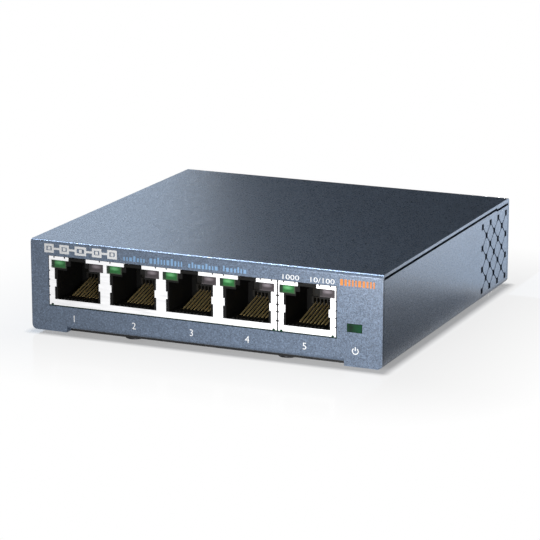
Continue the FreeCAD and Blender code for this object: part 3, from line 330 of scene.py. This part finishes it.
def dress_nodes(materials):
    """Gives every CAD node the finish of its slot in the record, apart from two kinds with their own; the
    cover screws get a near-black painted shade.
    """
    slots = {row["node"]: row["material_slot"] for row in frame["record"]["subparts"]}
    special = {"contact_insert": moulded("carrier_plastic", (0.016, 0.0145, 0.0125), 0.5, shine=0.15),
               # painted shade: the cover screws are made near-black to stand in for the shade under the
               # front flange
               "cover_screws": bright_strip("screw_painted_shade", (0.03, 0.03, 0.032), 0.45)}
    for name, node in frame["nodes"].items():
        finish = special.get(name.split("_port_")[0], materials[slots[name]])
        if not node.data.materials:
            node.data.materials.append(finish)
        for index in range(len(node.data.materials)):
            node.data.materials[index] = finish


# ------------------------------------------------------------------ camera, light and floor
def add_camera():
    """Long lens at the front right, a little above the case."""
    azimuth = math.radians(CAMERA_AZIMUTH)
    elevation = math.radians(CAMERA_ELEVATION)
    away = Vector((math.sin(azimuth) * math.cos(elevation), -math.cos(azimuth) * math.cos(elevation),
                   math.sin(elevation)))
    data = bpy.data.cameras.new("camera")
    data.lens = CAMERA_LENS
    data.sensor_width = 36
    data.clip_start = 0.01
    data.clip_end = 20
    camera = bpy.data.objects.new("camera", data)
    camera.location = CAMERA_TARGET + away * CAMERA_DISTANCE
    camera.rotation_euler = (-away).to_track_quat("-Z", "Y").to_euler()
    bpy.context.scene.collection.objects.link(camera)
    bpy.context.scene.camera = camera


def area_light(name, place, aim, size, power):
    data = bpy.data.lights.new(name, "AREA")
    data.shape = "RECTANGLE"
    data.size, data.size_y = size
    data.energy = power
    light = bpy.data.objects.new(name, data)
    light.location = place
    light.rotation_euler = (Vector(aim) - Vector(place)).to_track_quat("-Z", "Y").to_euler()
    light.visible_camera = False
    bpy.context.scene.collection.objects.link(light)


def seen_white(tree, strength_in_light):
    """1 for rays that show the background, and a lower strength for rays that light the object."""
    path = tree.nodes.new("ShaderNodeLightPath")
    total = path.outputs["Is Camera Ray"]
    for name in ("Is Glossy Ray", "Is Transmission Ray"):
        join = tree.nodes.new("ShaderNodeMath")
        join.operation = "MAXIMUM"
        tree.links.new(total, join.inputs[0])
        tree.links.new(path.outputs[name], join.inputs[1])
        total = join.outputs[0]
    scale = tree.nodes.new("ShaderNodeMapRange")
    scale.inputs["To Min"].default_value = strength_in_light
    scale.inputs["To Max"].default_value = 1.0
    tree.links.new(total, scale.inputs["Value"])
    return scale.outputs["Result"]


def add_world():
    world = bpy.data.worlds.new("studio")
    bpy.context.scene.world = world
    world.use_nodes = True
    back = world.node_tree.nodes["Background"]
    back.inputs["Color"].default_value = (1, 1, 1, 1)
    world.node_tree.links.new(seen_white(world.node_tree, WORLD_LIGHT), back.inputs["Strength"])


def flat_sheet(name, x0, x1, y0, y1, z):
    mesh = bpy.data.meshes.new(name)
    mesh.from_pydata([(x0, y0, z), (x1, y0, z), (x1, y1, z), (x0, y1, z)], [], [(0, 1, 2, 3)])
    sheet = bpy.data.objects.new(name, mesh)
    bpy.context.scene.collection.objects.link(sheet)
    return sheet


def add_floor():
    """White glossy table: a soft shadow and a faint mirror image near the case, plain white further off."""
    floor = flat_sheet("floor", -3.0, 3.0, -3.0, 3.0, 0)
    n = Nodes("floor")
    n.finish(Base_Color=(0.80, 0.80, 0.81), Roughness=0.12)
    n.shader.inputs["Specular IOR Level"].default_value = 0.5
    white = n.add("ShaderNodeEmission")
    n.link(seen_white(n.tree, FLOOR_LIGHT), white.inputs["Strength"])
    where = n.add("ShaderNodeTexCoord")
    outside = n.vector("SUBTRACT", n.vector("ABSOLUTE", where.outputs["Object"]), (-CASE_LEFT, -FACE_Y, 0))
    reach = n.add("ShaderNodeVectorMath", operation="LENGTH")
    n.link(n.vector("MAXIMUM", outside, (0, 0, 0)), reach.inputs[0])
    near = n.spread(reach.outputs["Value"], 0.0, FLOOR_PLAIN, -0.0015, 0.0025)
    far = n.spread(reach.outputs["Value"], 0.0, 1.0 - FLOOR_PLAIN, 0.0, FLOOR_FADE)
    mixed = n.add("ShaderNodeMixShader")
    n.link(n.math("ADD", near, far), mixed.inputs["Fac"])
    n.link(n.shader.outputs["BSDF"], mixed.inputs[1])
    n.link(white.outputs["Emission"], mixed.inputs[2])
    n.link(mixed.outputs["Shader"], n.output.inputs["Surface"])
    floor.data.materials.append(n.material)


def card(name, x0, x1, y0, y1, glow):
    """A card beside the set, dark or bright: it shows only in gloss."""
    sheet = flat_sheet(name, x0, x1, y0, y1, CARD_LIFT)
    sheet.visible_camera = False
    sheet.visible_diffuse = False
    sheet.visible_shadow = False
    sheet.visible_transmission = False
    n = Nodes(name)
    tone = tuple(glow * share for share in CARD_TINT)
    n.finish(Base_Color=(0, 0, 0), Roughness=0.9, Emission_Color=tone, Emission_Strength=1.0)
    sheet.data.materials.append(n.material)
    return sheet


def add_cards():
    backs = (("card_back_dark", -0.23, 0.80, 0.0), ("card_back_bright", -0.42, -0.24, 1.45))
    for name, x0, x1, glow in backs:
        back = card(name, x0, x1, 0.0, 0.60, glow)
        back.rotation_euler = (math.radians(90), 0, 0)
        back.location = (0, 0.45, 0)
    card("card_top_line", -0.34, -0.12, 0.02, 0.16, 60.0).location = (0, 0, 0.60)
    # painted shadow: a black card beside the right side, seen only in gloss, stands in for the case's shadow
    # on the table
    card("card_side_shadow", 0.053, 0.25, -0.10, 0.033, 0.0)
    card("card_side_bright", 0.053, 0.25, 0.040, 0.25, 1.4)


def add_studio():
    add_world()
    add_floor()
    add_cards()
    for light in LIGHTS:
        area_light(*light)


# ------------------------------------------------------------------ printing on the front panel
# in millimetres from the lower left corner of the panel's face
PORT_NUMBERS = (12.6, 30.2, 46.85, 62.7, 78.7)      # middle of each port's number
PORT_NUMBERS_FOOT = 3.05
PORT_NUMBERS_TALL = 1.8
# left end, right end, height of a bar, height of every fourth bar
SMALL_LINES = (
    (27.4, 33.9, 1.05, 1.5),
    (35.0, 45.0, 1.35, 1.8),
    (46.1, 55.0, 1.05, 1.5),
    (56.0, 63.0, 1.05, 1.5),
)
SMALL_LINES_FOOT = 21.3
# name, figure, middle, width
SPEEDS = (
    ("print_speed_high", "1000", 74.9, 4.6),
    ("print_speed_low", "10/100", 83.6, 6.6),
)
SPEEDS_FOOT = 21.0
SPEEDS_TALL = 1.3
ORANGE_ENDS = (88.4, 98.3)
ORANGE_FOOT = 20.95
ORANGE_TALL = 1.65
DASH_WIDTHS = (0.62, 0.45, 0.78, 0.55, 0.40)
DASH_GAP = 0.42
DASH_LEAST = 0.3                                    # no bar starts nearer than this to the row's end


def print_piece(name, mesh, ink):
    """Adds one printed mesh, drawn in the panel's plane: x right, y up, z out of the panel."""
    piece = bpy.data.objects.new(name, mesh)
    piece.matrix_world = Matrix(((1, 0, 0, CASE_LEFT), (0, 0, -1, FACE_Y),
                                 (0, 1, 0, CASE_BOTTOM), (0, 0, 0, 1)))
    bpy.context.scene.collection.objects.link(piece)
    piece.data.materials.append(ink)
    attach(piece, "root")


def slab(bm, corners):
    """A closed thin slab over a ring of (x, y) corners given in millimetres."""
    ring = [(x * MM, y * MM) for x, y in corners]
    lower = [bm.verts.new((x, y, -INK_SUNK)) for x, y in ring]
    upper = [bm.verts.new((x, y, INK_THICK)) for x, y in ring]
    bm.faces.new(list(reversed(lower)))
    bm.faces.new(upper)
    for i in range(len(ring)):
        j = (i + 1) % len(ring)
        bm.faces.new((lower[i], lower[j], upper[j], upper[i]))


def oblong(bm, x0, x1, y0, y1):
    slab(bm, [(x0, y0), (x1, y0), (x1, y1), (x0, y1)])


def print_shapes(name, ink, draw):
    bm = bmesh.new()
    draw(bm)
    mesh = bpy.data.meshes.new(name)
    bm.to_mesh(mesh)
    bm.free()
    print_piece(name, mesh, ink)


def print_digits(name, body, ink, x, low, height, width=None):
    """Digits from Blender's own typeface, centred on x, standing on low, of the given height."""
    curve = bpy.data.curves.new(name, "FONT")
    curve.body = body
    curve.resolution_u = 4
    text = bpy.data.objects.new(name + "_curve", curve)
    bpy.context.scene.collection.objects.link(text)
    bpy.context.view_layer.update()
    mesh = bpy.data.meshes.new_from_object(text.evaluated_get(bpy.context.evaluated_depsgraph_get()))
    bpy.data.objects.remove(text, do_unlink=True)
    mesh.name = name
    xs = [v.co.x for v in mesh.vertices]
    ys = [v.co.y for v in mesh.vertices]
    tall = height * MM / (max(ys) - min(ys))
    wide = tall if width is None else width * MM / (max(xs) - min(xs))
    middle = (max(xs) + min(xs)) / 2
    for v in mesh.vertices:
        v.co = Vector(((v.co.x - middle) * wide + x * MM, (v.co.y - min(ys)) * tall + low * MM, 0))
    bm = bmesh.new()
    bm.from_mesh(mesh)
    bmesh.ops.remove_doubles(bm, verts=bm.verts, dist=1e-7)
    grown = bmesh.ops.extrude_face_region(bm, geom=bm.faces[:])
    for v in [e for e in grown["geom"] if isinstance(e, bmesh.types.BMVert)]:
        v.co.z += INK_THICK
    for v in bm.verts:
        v.co.z -= INK_SUNK
    bmesh.ops.recalc_face_normals(bm, faces=bm.faces)
    bm.to_mesh(mesh)
    bm.free()
    mesh.materials.clear()
    print_piece(name, mesh, ink)


def network_row(bm):
    """Five linked blocks, the widest in the middle: a plain sign for a row of sockets on one wire."""
    low, high = 21.35, 23.75
    rim = 0.62
    half_dot = 0.42
    half_line = 0.28
    blocks = ((4.1, 6.9), (8.6, 11.4), (13.1, 16.5), (18.2, 21.0), (22.7, 25.5))
    middle = (low + high) / 2
    for x0, x1 in blocks:
        centre = (x0 + x1) / 2
        oblong(bm, x0, x1, high - rim, high)
        oblong(bm, x0, x1, low, low + rim)
        oblong(bm, x0, x0 + rim, low + rim, high - rim)
        oblong(bm, x1 - rim, x1, low + rim, high - rim)
        oblong(bm, centre - half_dot, centre + half_dot, middle - half_dot, middle + half_dot)
    for (_, x0), (x1, _) in zip(blocks, blocks[1:]):
        oblong(bm, x0, x1, middle - half_line, middle + half_line)


def dashes(bm, x0, x1, low, small, tall, start):
    """A row of little bars, every fourth one taller, that only suggests a line of small print."""
    x = x0
    count = 0
    while x < x1 - DASH_LEAST:
        width = DASH_WIDTHS[(start + 3 * count) % len(DASH_WIDTHS)]
        end = min(x + width, x1)
        high = tall if (start + count) % 4 == 0 else small
        oblong(bm, x, end, low, low + high)
        x = end + DASH_GAP
        count += 1


def power_sign(bm):
    """Ring open at the top with an upright bar."""
    x, y = 92.65, 4.15
    outer, inner = 0.92, 0.66
    half_bar = 0.13
    bar_low, bar_high = 0.1, 1.08
    steps = 28
    open_half = math.radians(36)
    start = math.pi / 2 + open_half
    sweep = 2 * math.pi - 2 * open_half
    turn = [start + sweep * i / steps for i in range(steps + 1)]
    ring = [(x + outer * math.cos(t), y + outer * math.sin(t)) for t in turn]
    hole = [(x + inner * math.cos(t), y + inner * math.sin(t)) for t in turn]
    for i in range(steps):
        slab(bm, [hole[i], ring[i], ring[i + 1], hole[i + 1]][::-1])
    oblong(bm, x - half_bar, x + half_bar, y + bar_low, y + bar_high)


def add_prints():
    white = print_ink("ink_white", (0.96, 0.97, 0.98))
    blue = print_ink("ink_pale_blue", (0.24, 0.42, 0.66))
    orange = print_ink("ink_orange", (0.80, 0.26, 0.035))
    for number, x in enumerate(PORT_NUMBERS, start=1):
        print_digits(f"print_port_{number}", str(number), white, x, PORT_NUMBERS_FOOT, PORT_NUMBERS_TALL)
    print_shapes("print_network_sign", white, network_row)
    print_shapes("print_power_sign", white, power_sign)
    for number, (x0, x1, small, tall) in enumerate(SMALL_LINES, start=1):
        print_shapes(f"print_small_line_{number}", blue,
                     lambda bm: dashes(bm, x0, x1, SMALL_LINES_FOOT, small, tall, number))
    for name, figure, x, width in SPEEDS:
        print_digits(name, figure, white, x, SPEEDS_FOOT, SPEEDS_TALL, width)
    print_shapes("print_orange_blocks", orange,
                 lambda bm: dashes(bm, *ORANGE_ENDS, ORANGE_FOOT, ORANGE_TALL, ORANGE_TALL, 2))


# ------------------------------------------------------------------ build
def build():
    materials = make_materials()
    dress_nodes(materials)
    add_prints()
    add_camera()
    add_studio()
    bpy.context.scene.view_settings.view_transform = "Standard"


build()
